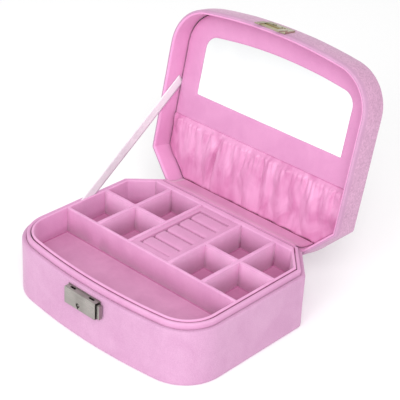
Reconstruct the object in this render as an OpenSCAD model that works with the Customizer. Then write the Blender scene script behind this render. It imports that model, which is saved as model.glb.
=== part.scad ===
// Jewelry box covered in velvet, shown open: a base with a lift-out tray,
// a ring pad, a hinged lid with a mirror and a gathered pocket, a ribbon stay
// and a push-button lock. Units are millimetres. The origin is the middle of
// the underside; X is to the right, Y to the back, Z up.

/* [Box] */
// Width of the box
box_w = 220; // [160:1:280]
// Depth of the box, front to back
box_d = 176.8; // [130:0.1:230]
// Height of the seam that the lid closes on
seam_z = 52.8; // [40:0.1:80]
// Height of the lid, rim to top
lid_h = 26.7; // [20:0.1:40]
// Radius of the two front corners
corner_r = 39.35; // [10:0.05:60]
// Radius of the bowed front
front_r = 520.3; // [300:0.1:1200]
// Width of the cut back corners
cut_x = 27.5; // [5:0.1:45]
// Depth of the cut back corners
cut_y = 28.9; // [5:0.1:45]
// How far the lid is opened, in degrees
open_angle = 101.4; // [90:0.1:115]
// Clearance between the closed lid's rim and the base
rim_gap = 0.4; // [0.2:0.05:1]

/* [Walls] */
// Thickness of the velvet skin
skin = 0.9; // [0.5:0.1:1.5]
// Thickness of the whole lid wall
lid_wall_t = 3.8; // [2.5:0.1:6]
// Inset of the neck's outer face from the box outline
neck_out = 4.2; // [3:0.1:8]
// Inset of the neck's inner face
neck_in = 7.1; // [5:0.1:10]
// Height of the neck's top
neck_top = 57.4; // [45:0.1:70]
// Thickness of the boards
board = 2; // [1:0.1:4]

/* [Tray] */
// Inset of the tray's outer face
tray_out = 8.6; // [7.5:0.1:12]
// Inset of the tray rim's inner face
tray_in = 10.5; // [9:0.1:15]
// Height of the tray's underside
tray_z = 31; // [10:0.1:40]
// Height of the tray's walls
tray_top = 58; // [45:0.1:70]
// Height of the compartment floors
floor_z = 34; // [20:0.1:45]
// Height of the trough's floor
trough_z = 33.2; // [20:0.1:45]
// Front face of the long divider
divider_y = -18.9; // [-50:0.05:0]
// Thickness of the long divider
divider_t = 3.15; // [2:0.05:6]
// Front face of the middle dividers
middle_y = 26.7; // [10:0.1:50]
// Thickness of the middle and cross dividers
cross_t = 4.2; // [2:0.1:6]
// Front face of the tray's back wall
back_y = 73.9; // [60:0.1:78]
// Inner face of the cross dividers, from the middle
cross_x = 60.1; // [40:0.1:80]
// Inner face of the walls beside the ring pad, from the middle
block_x = 22.3; // [15:0.1:30]
// Thickness of the walls beside the ring pad
block_t = 3; // [2:0.1:6]

/* [Ring pad] */
// Half the width of the pad
pad_x = 22; // [15:0.1:30]
// Height of the pad's top
pad_top = 57; // [45:0.1:65]
// Distance from one slot to the next
roll_pitch = 15.1; // [10:0.1:20]
// Number of rolls
roll_count = 5; // [3:1:8]
// Front slot's place
first_slot_y = -9.4; // [-20:0.1:5]
// Width of a slot
slot_w = 1.6; // [0.8:0.1:3]
// Half the length of a slot
slot_x = 17.5; // [10:0.1:25]

/* [Lid lining] */
// Depth of the lining below the rim
lining_depth = 19.3; // [12:0.1:24]
// Inset of the lining's edge
lining_in = 5.1; // [4.5:0.1:8]
// Inset of the mirror window
mirror_in = 26; // [15:0.5:40]
// Straight edge of the mirror, measured from the middle
mirror_y = 0.4; // [-20:0.1:20]
// Top hem of the pocket, measured from the middle
pocket_y = 24.4; // [5:0.1:50]

/* [Ribbon] */
// Width of the ribbon stay
ribbon_w = 10.4; // [6:0.1:16]
// Thickness of the ribbon
ribbon_t = 0.5; // [0.3:0.05:1]

/* [Lock] */
// Half the width of the lock case
case_x = 18.2; // [12:0.1:25]
// Underside of the case
case_z0 = 33.4; // [20:0.1:40]
// Top of the case
case_z1 = 49; // [35:0.1:52]
// How far the case stands out
case_d = 6; // [4:0.1:10]
// Thickness of the case's walls
case_t = 0.5; // [0.4:0.1:2]
// Key's place across the case
key_x = -2.3; // [-8:0.1:8]
// Key's height
key_z = 37.3; // [34:0.1:42]
// Travel of the push button
press = 2; // [1:0.1:3]
// Middle of each hook, from the middle of the box
hook_x = 11; // [8:0.1:14]
// Width of a hook
hook_w = 5; // [3:0.1:6]

/* [Hidden] */
arc_n = 14;
bow_n = 12;
half_w = box_w / 2;
half_d = box_d / 2;
front_cy = front_r - half_d;
corner_x = half_w - corner_r;
corner_y = front_cy - sqrt(pow(front_r - corner_r, 2) - pow(corner_x, 2));
bow_a = asin(corner_x / (front_r - corner_r));
cut_len = sqrt(cut_x * cut_x + cut_y * cut_y);
cut_nx = cut_y / cut_len;
cut_ny = cut_x / cut_len;
cut_c = cut_nx * half_w + cut_ny * (half_d - cut_y);
top_z = seam_z + lid_h;
lining_z = seam_z + lining_depth;
wall_top = seam_z - rim_gap;
hinge_y = half_d - 1.3;
hinge_z = seam_z - 3.6;
face_y = -half_d;
case_y = face_y - case_d;
plate_y = face_y - 1;
// pressed depth of the catch plate, which is hollow behind
catch_d = 2.2;
hook_y = face_y - 3.2;
hook_tip = case_z1 - 4.7;
roll_len = 2 * slot_x;
roll_y1 = first_slot_y + roll_count * roll_pitch;
pad_y0 = divider_y + divider_t + 0.3;
pad_y1 = back_y - 0.3;
pad_z = tray_z + 1.65;
roll_z = pad_top - 13;
e = 0.01;
$fn = 32;

// ---- outline of the box, moved inwards by t ----

function cut_at_x(x, t) = (cut_c - t - cut_nx * x) / cut_ny;
function cut_at_y(y, t) = (cut_c - t - cut_ny * y) / cut_nx;

function arc(cx, cy, r, a0, a1, n) = [
  for (i = [0 : n]) let (a = a0 + (a1 - a0) * i / n)
    [cx + r * cos(a), cy + r * sin(a)]
];

function bow(t) = [
  for (i = [1 : bow_n - 1]) let (a = -90 - bow_a + 2 * bow_a * i / bow_n)
    [(front_r - t) * cos(a), front_cy + (front_r - t) * sin(a)]
];

function outline(t) = concat(
  arc(-corner_x, corner_y, corner_r - t, 180, 270 - bow_a, arc_n),
  bow(t),
  arc(corner_x, corner_y, corner_r - t, -90 + bow_a, 0, arc_n),
  [
    [half_w - t, cut_at_x(half_w - t, t)],
    [cut_at_y(half_d - t, t), half_d - t],
    [-cut_at_y(half_d - t, t), half_d - t],
    [-(half_w - t), cut_at_x(half_w - t, t)]
  ]
);

module slab(t, z0, z1) {
  translate([0, 0, z0])
    linear_extrude(z1 - z0)
      polygon(outline(t));
}

module ring(t0, t1, z0, z1) {
  difference() {
    slab(t0, z0, z1);
    slab(t1, z0 - 1, z1 + 1);
  }
}

module box3(x0, x1, y0, y1, z0, z1) {
  translate([x0, y0, z0])
    cube([x1 - x0, y1 - y0, z1 - z0]);
}

module mirror_x() {
  children();
  mirror([1, 0, 0])
    children();
}

// turns the closed lid about the hinge line into its open place
module opened() {
  translate([0, hinge_y, hinge_z])
    rotate([-open_angle, 0, 0])
      translate([0, -hinge_y, -hinge_z])
        children();
}

module rod_y(x, z, y0, y1, r) {
  translate([x, y0, z])
    rotate([-90, 0, 0])
      cylinder(h = y1 - y0, r = r);
}

// ---- base ----

module base_foot_felt() {
  color([0.78, 0.5, 0.66])
    slab(skin, 0, 0.8);
}

module base_bottom_board() {
  color([0.72, 0.6, 0.45])
    slab(skin, 0.8, 0.8 + board);
}

module nail_rods(r, y0, y1) {
  for (x = [-14, 14])
    for (z = [36, 46])
      rod_y(x, z, y0, y1, r);
}

module base_wall() {
  color([0.72, 0.6, 0.45])
    difference() {
      ring(skin, neck_out, 0.8 + board, wall_top - skin);
      nail_rods(0.8, face_y - 1, face_y + 3);
    }
}

module base_wrap() {
  color([0.92, 0.66, 0.84])
    difference() {
      slab(0, 0, wall_top);
      slab(skin, -1, wall_top - skin);
      slab(neck_out, 0, wall_top + 1);
      nail_rods(0.8, face_y - 1, face_y + 3);
    }
}

module neck_board() {
  color([0.72, 0.6, 0.45])
    ring(neck_out + 0.7, neck_in - 0.7, 0.8 + board, neck_top - 0.7);
}

module neck_cover() {
  color([0.92, 0.62, 0.82])
    difference() {
      ring(neck_out, neck_in, 0.8 + board, neck_top);
      ring(neck_out + 0.7, neck_in - 0.7, board, neck_top - 0.7);
    }
}

module tray_support() {
  color([0.78, 0.45, 0.62])
    ring(neck_in, neck_in + 4, 0.8 + board, tray_z - 0.1);
}

module base_floor_liner() {
  color([0.78, 0.45, 0.62])
    slab(neck_in + 4, 0.8 + board, 3.8);
}

// strip of cloth inside the hinge, from the neck to the lid's inner back wall
module hinge_strip() {
  w = cut_at_y(half_d, 0) - 9;
  color([0.84, 0.53, 0.7])
    translate([-w, 0, 0])
      rotate([90, 0, 90])
        linear_extrude(2 * w)
          polygon([
            [half_d - 4.15, wall_top + 0.1], [half_d + 0.1, wall_top + 0.1],
            [half_d + 2.8, seam_z - 1.65], [half_d + 21.1, seam_z - 5.35],
            [half_d + 21.3, seam_z - 4.5], [half_d + 3, seam_z - 0.7],
            [half_d + 0.3, seam_z + 0.6], [half_d - 3, seam_z + 0.8],
            [half_d - 3.45, seam_z + 4.2], [half_d - 4.15, seam_z + 4.2]
          ]);
}

// strip of cloth outside the hinge, from the base's back to the lid's back
module spine_strip() {
  w = cut_at_y(half_d, 0) - 3;
  color([0.9, 0.64, 0.8])
    translate([-w, 0, 0])
      rotate([90, 0, 90])
        linear_extrude(2 * w)
          polygon([
            [half_d + 0.05, seam_z - 17], [half_d + 0.75, seam_z - 17],
            [half_d + 0.75, seam_z - 7.2], [half_d + 1.95, seam_z - 6.6],
            [half_d + 11.6, seam_z - 8.55], [half_d + 11.6, seam_z - 7.8],
            [half_d + 1.95, seam_z - 5.8], [half_d + 0.05, seam_z - 6.2]
          ]);
}

// ribbon that holds the open lid, tucked in beside the tray and the lining
module ribbon_stay() {
  foot = [-102.25, 7.1, 56];
  head = [-105.6, 128.4, 138];
  run = head - foot;
  turn = atan(-run[0] / run[1]);
  rise = asin(run[2] / norm(run));
  color([0.95, 0.85, 0.92])
    translate(foot)
      rotate([0, 0, turn])
        rotate([rise, 0, 0])
          translate([-ribbon_t / 2, -12, -ribbon_w / 2])
            cube([ribbon_t, norm(run) + 11.5, ribbon_w]);
}

// ---- lock ----

module lock_backplate() {
  color([0.7, 0.68, 0.65])
    difference() {
      box3(-19, 19, plate_y, face_y, case_z0 - 0.4, case_z1 + 0.4);
      nail_rods(0.8, plate_y - 1, face_y + 1);
      rod_y(key_x, key_z, plate_y - 1, face_y + 1, 1.55);
    }
}

module lock_nails() {
  color([0.7, 0.68, 0.65])
    nail_rods(0.8, plate_y, face_y + 3);
}

module lock_case() {
  color([0.72, 0.7, 0.68])
    difference() {
      box3(-case_x, case_x, case_y, plate_y, case_z0, case_z1);
      box3(-case_x + case_t, case_x - case_t, case_y + case_t, plate_y + e,
           case_z0 + case_t, case_z1 - case_t);
      for (s = [-1, 1])
        box3(s * hook_x - 3, s * hook_x + 3, hook_y - 0.5, hook_y + 1.5,
             case_z1 - 2, case_z1 + 1);
      box3(case_x - 2, case_x + 1, case_y + case_t, plate_y + e,
           case_z0 + case_t, case_z1 - case_t);
      rod_y(key_x, key_z, case_y - 1, case_y + 2, 2.2);
      box3(key_x - 0.6, key_x + 0.6, case_y - 1, case_y + 2,
           key_z - 3.2, key_z);
    }
}

module lock_spring() {
  n = 6;
  x0 = -case_x + case_t + 0.1;
  x1 = -9.5;
  p = (x1 - x0) / (2 * n);
  color([0.8, 0.8, 0.8])
    translate([x0, plate_y - 2.6, key_z + 1.6])
      rotate([0, 90, 0])
        rotate_extrude($fn = 24)
          polygon(concat(
            [for (i = [0 : 2 * n]) [i % 2 == 0 ? 0.9 : 1.4, i * p]],
            [for (i = [2 * n : -1 : 0]) [i % 2 == 0 ? 0.5 : 1, i * p]]
          ));
}

// slides to the left when the button is pressed, and lets the hooks go
module latch_plate() {
  color([0.66, 0.64, 0.6])
    difference() {
      union() {
        box3(-15, 15.9, case_y + 1.3, case_y + 2.2, key_z + 3.7, key_z + 9.9);
        box3(-9.4, -8.4, case_y + 1.3, plate_y - 0.9, key_z + 0.4, key_z + 4.7);
        for (x = [-15, 6.4])
          box3(x, x + 2.6 + (x > 0 ? 0.6 : 0), case_y + 1.3, plate_y - 0.7,
               key_z + 8.9, key_z + 9.9);
      }
      box3(key_x - 3.8, key_x + 1.5, case_y, plate_y, key_z + 3, key_z + 5.6);
    }
}

module lock_button() {
  color([0.74, 0.72, 0.7])
    box3(15.9, 21.7, case_y + 1.5, plate_y - 0.1, case_z0 + 1.1, case_z1 - 1.7);
}

// turns with the key about a pin in its middle; its arm rises into the latch
// plate's notch to lock it, and its stub runs in the backplate
module key_barrel() {
  front = case_y + case_t + 0.1;
  color([0.6, 0.58, 0.55]) {
    difference() {
      union() {
        rod_y(key_x, key_z, front, plate_y - 0.1, 2.9);
        rod_y(key_x, key_z, plate_y - 0.2, face_y - 0.1, 1.5);
        box3(key_x - 4.9, key_x, case_y + 1.3, case_y + 2.3,
             key_z - 1, key_z + 1);
      }
      difference() {
        union() {
          rod_y(key_x, key_z, front - 1, plate_y - 1.2, 1.9);
          box3(key_x - 0.5, key_x + 0.5, front - 1, plate_y - 1.2,
               key_z - 2.6, key_z);
        }
        rod_y(key_x, key_z, front - 2, plate_y, 0.85);
      }
    }
  }
}

// ---- tray ----

module tray_floor() {
  color([0.8, 0.5, 0.66])
    slab(tray_out, tray_z, tray_z + 1.6);
}

// clipped to the inside of the tray's rim
module in_tray() {
  intersection() {
    children();
    slab(tray_in, tray_z, tray_top + 5);
  }
}

module tray_rim() {
  color([0.86, 0.57, 0.74])
    difference() {
      slab(tray_out, tray_z + 1.6, tray_top);
      difference() {
        slab(tray_in, tray_z, tray_top + 1);
        box3(-half_w, half_w, back_y, half_d, tray_z - 1, tray_top + 2);
      }
    }
}

module long_divider() {
  color([0.86, 0.57, 0.74])
    in_tray()
      box3(-half_w, half_w, divider_y, divider_y + divider_t,
           tray_z + 1.6, tray_top);
}

module middle_dividers() {
  color([0.86, 0.57, 0.74])
    in_tray()
      mirror_x() {
        box3(block_x + block_t, cross_x, middle_y, middle_y + cross_t,
             tray_z + 1.6, tray_top);
        box3(cross_x + cross_t, half_w, middle_y, middle_y + cross_t,
             tray_z + 1.6, tray_top);
      }
}

module cross_dividers() {
  color([0.86, 0.57, 0.74])
    mirror_x()
      box3(cross_x, cross_x + cross_t, divider_y + divider_t, back_y,
           tray_z + 1.6, tray_top);
}

module ring_well_walls() {
  color([0.86, 0.57, 0.74])
    mirror_x()
      box3(block_x, block_x + block_t, divider_y + divider_t, back_y,
           tray_z + 1.6, tray_top);
}

module trough_liner() {
  color([0.8, 0.54, 0.68])
    difference() {
      slab(tray_in, tray_z + 1.6, trough_z);
      box3(-half_w, half_w, divider_y, half_d, tray_z, tray_top);
    }
}

module compartment_liners() {
  y0 = divider_y + divider_t;
  y1 = middle_y + cross_t;
  color([0.66, 0.35, 0.48])
    intersection() {
      slab(tray_in, tray_z + 1.6, floor_z);
      mirror_x()
        union() {
          box3(block_x + block_t, cross_x, y0, middle_y, tray_z, tray_top);
          box3(block_x + block_t, cross_x, y1, back_y, tray_z, tray_top);
          box3(cross_x + cross_t, half_w, y0, middle_y, tray_z, tray_top);
          box3(cross_x + cross_t, half_w, y1, back_y, tray_z, tray_top);
        }
    }
}

// ---- ring pad ----

module ring_pad_board() {
  color([0.72, 0.6, 0.45])
    box3(-pad_x, pad_x, pad_y0, pad_y1, pad_z, pad_z + 1.5);
}

module ring_pad_frame() {
  color([0.88, 0.6, 0.76])
    difference() {
      box3(-pad_x, pad_x, pad_y0, pad_y1, pad_z + 1.5, pad_top);
      box3(-slot_x, slot_x, first_slot_y - slot_w / 2, roll_y1 + slot_w / 2,
           roll_z, pad_top + 1);
    }
}

// padded rolls that grip rings between them
module ring_rolls() {
  r = (roll_pitch - slot_w) / 2;
  color([0.88, 0.6, 0.76])
    for (i = [0 : roll_count - 1])
      translate([-slot_x + 0.2, first_slot_y + (i + 0.5) * roll_pitch, 0])
        rotate([90, 0, 90])
          linear_extrude(roll_len - 0.4)
            polygon(concat(
              [[-r, roll_z], [r, roll_z]],
              [for (a = [0 : 15 : 180])
                [r * cos(a), pad_top - r * 0.8 + r * 0.8 * sin(a)]]
            ));
}

// ---- lid, drawn closed and then opened ----

module lid_wall() {
  color([0.72, 0.6, 0.45])
    opened()
      difference() {
        ring(skin, lid_wall_t - 0.7, seam_z + skin, top_z - 3.9);
        rivet_rods(1.1, face_y - 1, face_y + 2.6);
      }
}

module lid_wrap() {
  color([0.84, 0.63, 0.77])
    opened()
      difference() {
        slab(0, seam_z, top_z - 0.9);
        slab(skin, seam_z + skin, top_z);
        slab(lid_wall_t, seam_z - 1, top_z);
        rivet_rods(1.1, face_y - 1, face_y + 2.6);
      }
}

module lid_inner_liner() {
  color([0.89, 0.57, 0.78])
    opened()
      ring(lid_wall_t - 0.7, lid_wall_t, seam_z + skin, top_z - 3.9);
}

module lid_top_board() {
  color([0.72, 0.6, 0.45])
    opened()
      slab(skin, top_z - 3.9, top_z - 1.9);
}

module lid_padding() {
  color([0.9, 0.88, 0.8])
    opened()
      slab(skin, top_z - 1.9, top_z - 0.9);
}

module lid_top_cover() {
  color([0.84, 0.63, 0.77])
    opened()
      slab(0, top_z - 0.9, top_z);
}

module lining_board() {
  color([0.72, 0.6, 0.45])
    opened()
      slab(lining_in, lining_z + 1.9, top_z - 3.9);
}

// outline of the mirror, with its straight edge moved by t
module mirror_slab(t, z0, z1) {
  intersection() {
    slab(mirror_in - t, z0, z1);
    box3(-half_w, half_w, -half_d, mirror_y + t, z0 - 1, z1 + 1);
  }
}

module lining_frame() {
  color([0.92, 0.64, 0.81])
    opened()
      difference() {
        slab(lining_in, lining_z, lining_z + 1.9);
        mirror_slab(0, lining_z - 1, lining_z + 3);
        mirror_slab(2, lining_z + 0.9, lining_z + 3);
      }
}

module mirror_glass() {
  color([0.95, 0.97, 1])
    opened()
      mirror_slab(2, lining_z + 0.9, lining_z + 1.9);
}

// gathered pocket: sewn along its sides and foot, open along its hem
module pocket_cloth() {
  z0 = lining_z - 2.6;
  color([0.93, 0.62, 0.82])
    opened()
      difference() {
        intersection() {
          slab(lining_in + 0.6, z0, lining_z);
          box3(-half_w, half_w, pocket_y, half_d, z0 - 1, lining_z + 1);
        }
        intersection() {
          slab(lining_in + 3.6, z0 + 1, lining_z + 1);
          box3(-half_w, half_w, pocket_y - 1, half_d, z0, lining_z + 2);
        }
      }
}

module pocket_elastic() {
  w = half_w - lining_in - 5;
  color([0.95, 0.9, 0.93])
    opened()
      box3(-w, w, pocket_y + 0.6, pocket_y + 3.6, lining_z - 1.6, lining_z - 0.9);
}

// ---- catch on the lid ----

module rivet_rods(r, y0, y1) {
  for (x = [-5, 5])
    rod_y(x, seam_z + 9, y0, y1, r);
}

module catch_plate() {
  color([0.8, 0.77, 0.7])
    opened()
      difference() {
        box3(-13.8, 13.8, face_y - catch_d, face_y, seam_z + 0.4, seam_z + 14.5);
        box3(-13.2, 13.2, face_y - catch_d + 0.6, face_y + 1,
             seam_z + 1, seam_z + 13.9);
        rivet_rods(1.1, face_y - 4, face_y + 1);
      }
}

module catch_hooks() {
  color([0.8, 0.77, 0.7])
    opened()
      for (s = [-1, 1])
        difference() {
          union() {
            box3(s * hook_x - hook_w / 2, s * hook_x + hook_w / 2,
                 hook_y, hook_y + 1, hook_tip, seam_z + 4);
            box3(s * hook_x - hook_w / 2, s * hook_x + hook_w / 2,
                 hook_y, face_y - catch_d, seam_z + 0.4, seam_z + 4);
          }
          box3(s * hook_x - hook_w / 2 - 1, s * hook_x - 1,
               hook_y - 1, hook_y + 2, case_z1 - 3.2, case_z1 - 1.4);
        }
}

// folded lip that stiffens the catch plate between the hooks
module catch_lip() {
  color([0.62, 0.56, 0.36])
    opened()
      box3(-7.9, 7.9, face_y - catch_d - 1, face_y - catch_d,
           seam_z + 0.4, seam_z + 4);
}

module catch_rivets() {
  color([0.85, 0.83, 0.8])
    opened() {
      rivet_rods(1.1, face_y - catch_d, face_y + 2.6);
      rivet_rods(1.9, face_y - catch_d - 0.7, face_y - catch_d);
    }
}

base_foot_felt();
base_bottom_board();
base_wall();
base_wrap();
neck_board();
neck_cover();
tray_support();
base_floor_liner();
hinge_strip();
spine_strip();
ribbon_stay();
lock_backplate();
lock_nails();
lock_case();
lock_spring();
latch_plate();
lock_button();
key_barrel();
tray_floor();
tray_rim();
long_divider();
middle_dividers();
cross_dividers();
ring_well_walls();
trough_liner();
compartment_liners();
ring_pad_board();
ring_pad_frame();
ring_rolls();
lid_wall();
lid_wrap();
lid_inner_liner();
lid_top_board();
lid_padding();
lid_top_cover();
lining_board();
lining_frame();
mirror_glass();
pocket_cloth();
pocket_elastic();
catch_plate();
catch_hooks();
catch_lip();
catch_rivets();
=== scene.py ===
"""Looks of the velvet jewelry box, built around its CAD frame.

Lengths are in millimetres until a mesh is made, which is in metres. Lid
pieces are drawn as they lie with the lid closed, then turned open.
"""
import math

import bpy
import numpy as np
from mathutils import Matrix, Vector, noise


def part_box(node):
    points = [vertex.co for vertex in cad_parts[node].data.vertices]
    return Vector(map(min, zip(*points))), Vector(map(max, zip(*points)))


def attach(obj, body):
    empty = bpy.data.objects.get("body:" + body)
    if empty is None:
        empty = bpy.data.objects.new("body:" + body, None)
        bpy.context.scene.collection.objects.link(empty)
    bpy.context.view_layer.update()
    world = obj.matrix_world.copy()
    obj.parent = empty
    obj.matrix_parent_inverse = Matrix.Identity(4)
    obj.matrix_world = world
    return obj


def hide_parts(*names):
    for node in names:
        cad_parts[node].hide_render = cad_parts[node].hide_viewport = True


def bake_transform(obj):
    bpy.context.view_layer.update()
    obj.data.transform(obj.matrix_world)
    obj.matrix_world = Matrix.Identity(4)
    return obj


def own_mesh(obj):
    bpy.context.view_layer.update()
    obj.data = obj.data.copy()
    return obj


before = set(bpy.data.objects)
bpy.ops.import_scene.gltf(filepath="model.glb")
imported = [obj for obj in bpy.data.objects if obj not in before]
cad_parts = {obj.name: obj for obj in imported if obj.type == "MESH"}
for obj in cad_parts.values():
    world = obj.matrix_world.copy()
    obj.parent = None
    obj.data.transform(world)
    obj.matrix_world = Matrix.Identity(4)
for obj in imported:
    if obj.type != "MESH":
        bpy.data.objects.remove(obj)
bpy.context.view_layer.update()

MM = 0.001
noise.seed_set(5)  # noise_vector shifts with the seed, so it is fixed


def box_mm(node):
    lo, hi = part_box(node)
    return [v / MM for v in lo], [v / MM for v in hi]


# ---- sizes, from the frame where it holds them ----

(_, _, _), (HALF_W, HALF_D, WALL_TOP) = box_mm("base_wrap")
SEAM = WALL_TOP + 0.4  # foot of the closed lid
LID_H = 26.7
NECK_TOP = box_mm("neck_cover")[1][2]
TRAY_LOW = box_mm("tray_floor")[0][2]
TRAY_TOP = box_mm("tray_rim")[1][2]
TROUGH_Z = box_mm("trough_liner")[1][2]
FLOOR_Z = box_mm("compartment_liners")[1][2]
PAD_TOP = box_mm("ring_pad_frame")[1][2]
CORNER_R = 39.35  # front corners
FRONT_R = 520.3  # bow of the front
CUT_X, CUT_Y = 27.5, 28.9  # cut corners at the back
CUT_SOFT = 5.0
NECK_OUT, NECK_IN = 4.2, 7.1  # these and the next are depths inside the outline
TRAY_OUT, TRAY_IN = 8.6, 10.5
SLAB = 1.6  # thickness of the tray's floor
LID_T = 3.8  # thickness of the lid's wall
LID_LIP, LID_ROLL = 2.1, 1.5  # the lid's foot: where its cloths meet, its rounding
LINING_DEPTH, LINING_IN = 19.3, 5.1  # above the lid's foot, inside its outline
MIRROR_IN, MIRROR_Y = 26.0, 0.4  # the window: inside the outline, its straight edge
POCKET_Y = 24.4  # the pocket's hem
OPEN = math.radians(101.4)
HINGE_Y, HINGE_Z = HALF_D - 1.3, SEAM - 3.6
LINING_Z = SEAM + LINING_DEPTH
TOP_Z = SEAM + LID_H


def unit(v):
    v = np.asarray(v, float)
    return v / np.linalg.norm(v)


# ---- camera: the photograph's place and lens ----

CAM_TARGET = np.array([-51.12, 102.66, 40.0])
CAM_AZ, CAM_EL, CAM_ROLL = map(math.radians, (41.71, 29.70, 3.17))
CAM_DIST = 1200.5
CAM_LENS = 115.82


def add_camera():
    back = np.array([
        math.sin(CAM_AZ) * math.cos(CAM_EL),
        -math.cos(CAM_AZ) * math.cos(CAM_EL),
        math.sin(CAM_EL),
    ])
    right = unit(np.cross(-back, [0, 0, 1]))
    up = np.cross(right, -back)
    c, s = math.cos(CAM_ROLL), math.sin(CAM_ROLL)
    right2, up2 = right * c + up * s, up * c - right * s
    data = bpy.data.cameras.new("camera")
    data.lens, data.sensor_width = CAM_LENS, 36.0
    data.clip_start, data.clip_end = 0.05, 20.0
    cam = bpy.data.objects.new("camera", data)
    m = Matrix.Identity(4)
    for col, axis in enumerate((right2, up2, back)):
        for row in range(3):
            m[row][col] = axis[row]
    place = (CAM_TARGET + back * CAM_DIST) * MM
    for row in range(3):
        m[row][3] = place[row]
    cam.matrix_world = m
    bpy.context.collection.objects.link(cam)
    bpy.context.scene.camera = cam


add_camera()

# ---- plan outline of the box, moved inwards by t ----

FRONT_CY = FRONT_R - HALF_D
CORNER_X = HALF_W - CORNER_R
CORNER_Y = FRONT_CY - math.sqrt((FRONT_R - CORNER_R) ** 2 - CORNER_X ** 2)
BOW_A = math.asin(CORNER_X / (FRONT_R - CORNER_R))
CUT_LEN = math.hypot(CUT_X, CUT_Y)
CUT_NX, CUT_NY = CUT_Y / CUT_LEN, CUT_X / CUT_LEN
CUT_C = CUT_NX * HALF_W + CUT_NY * (HALF_D - CUT_Y)
STEP = 4.5


def cut_at_x(x, t):
    return (CUT_C - t - CUT_NX * x) / CUT_NY


def cut_at_y(y, t):
    return (CUT_C - t - CUT_NY * y) / CUT_NX


def arc(cx, cy, r, a0, a1, n):
    return [
        (cx + r * math.cos(a0 + (a1 - a0) * i / n),
         cy + r * math.sin(a0 + (a1 - a0) * i / n))
        for i in range(n + 1)
    ]


def fillet(p, v, q, r, n=4):
    """A soft corner at v between the edges from p and to q."""
    p, v, q = (np.array(x, float) for x in (p, v, q))
    a, b = unit(p - v), unit(q - v)
    cut = r / math.tan(math.acos(np.clip(a @ b, -1, 1)) / 2)
    s, e = v + a * cut, v + b * cut
    return [
        tuple((1 - k) ** 2 * s + 2 * k * (1 - k) * v + k * k * e)
        for k in (i / n for i in range(n + 1))
    ]


def raw_outline(t):
    q = math.pi / 2
    left = arc(-CORNER_X, CORNER_Y, CORNER_R - t, 2 * q, 3 * q - BOW_A, 14)
    front = arc(0, FRONT_CY, FRONT_R - t, -q - BOW_A, -q + BOW_A, 16)[1:-1]
    right = arc(CORNER_X, CORNER_Y, CORNER_R - t, -q + BOW_A, 0, 14)
    r = max(CUT_SOFT - t, 0.6)
    w, d = HALF_W - t, HALF_D - t
    v1, v2 = (w, cut_at_x(w, t)), (cut_at_y(d, t), d)
    m1, m2 = (-v1[0], v1[1]), (-v2[0], v2[1])
    back = (fillet(right[-1], v1, v2, r) + fillet(v1, v2, m2, r)
            + fillet(v2, m2, m1, r) + fillet(m2, m1, left[0], r))
    return left + front + right + back


def spans():
    pts = raw_outline(0)
    ring = pts[1:] + pts[:1]
    return [max(1, math.ceil(math.dist(a, b) / STEP)) for a, b in zip(pts, ring)]


SPANS = spans()


def outline(t):
    pts = raw_outline(t)
    ring = pts[1:] + pts[:1]
    out = []
    for (ax, ay), (bx, by), n in zip(pts, ring, SPANS):
        out += [(ax + (bx - ax) * k / n, ay + (by - ay) * k / n) for k in range(n)]
    return out


# ---- meshes ----


def opened(verts):
    """Turns points drawn with the lid closed to where the open lid has them."""
    v = np.array(verts, float)
    dy, dz = v[:, 1] - HINGE_Y, v[:, 2] - HINGE_Z
    c, s = math.cos(OPEN), math.sin(OPEN)
    v[:, 1] = HINGE_Y + c * dy + s * dz
    v[:, 2] = HINGE_Z - s * dy + c * dz
    return v


def rumple(verts, amp, size):
    """Small unevenness of cloth over board; amp and size in millimetres."""
    return [
        tuple(Vector(v) + amp * noise.noise_vector(Vector(v) / size)) for v in verts
    ]


def make(name, verts, faces, body, replaces=(), is_open=False):
    if is_open:
        verts = opened(verts)
    mesh = bpy.data.meshes.new(name)
    mesh.from_pydata([tuple(float(c) * MM for c in v) for v in verts], [], faces)
    mesh.validate()
    mesh.update()
    mesh.shade_smooth()
    obj = bpy.data.objects.new(name, mesh)
    bpy.context.collection.objects.link(obj)
    if body:
        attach(obj, body)
    if replaces:
        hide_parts(*replaces)
    return obj


def rings_mesh(rings, closed_path=False, cap_start=False, cap_end=False):
    """Quads between rings of equal length; a cap is a fan to its middle."""
    n = len(rings[0])
    verts = [p for ring in rings for p in ring]
    pairs = list(range(len(rings) - 1))
    faces = []
    for k in pairs:
        for i in range(n):
            j = (i + 1) % n
            faces.append((k * n + i, k * n + j, (k + 1) * n + j, (k + 1) * n + i))
    if closed_path:
        k = len(rings) - 1
        for i in range(n):
            j = (i + 1) % n
            faces.append((k * n + i, k * n + j, j, i))
    for want, k in ((cap_start, 0), (cap_end, len(rings) - 1)):
        if want:
            ring = rings[k]
            mid = tuple(sum(p[c] for p in ring) / n for c in range(3))
            verts.append(mid)
            for i in range(n):
                j = (i + 1) % n
                tri = (k * n + i, k * n + j, len(verts) - 1)
                faces.append(tri if k else tri[::-1])
    return verts, faces


def grid_faces(n, m):
    """Quads of a sheet whose points run n steps across in each of m + 1 rows."""
    return [
        (j * (n + 1) + i, j * (n + 1) + i + 1, (j + 1) * (n + 1) + i + 1,
         (j + 1) * (n + 1) + i)
        for j in range(m) for i in range(n)
    ]


def at_z(points, z):
    return [(x, y, z) for x, y in points]


def sweep(path):
    return [at_z(outline(t), z) for t, z in path]


def shrink(ring, s, z, mid=(0.0, -6.0)):
    return [(mid[0] + (x - mid[0]) * s, mid[1] + (y - mid[1]) * s, z)
            for x, y, _ in ring]


def solidify(obj, t, offset=-1.0):
    """Thickness t in mm, inwards from the mesh unless offset says otherwise."""
    mod = obj.modifiers.new("thickness", "SOLIDIFY")
    mod.thickness, mod.offset = t * MM, offset
    mod.use_even_offset = False
    return obj


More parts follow.
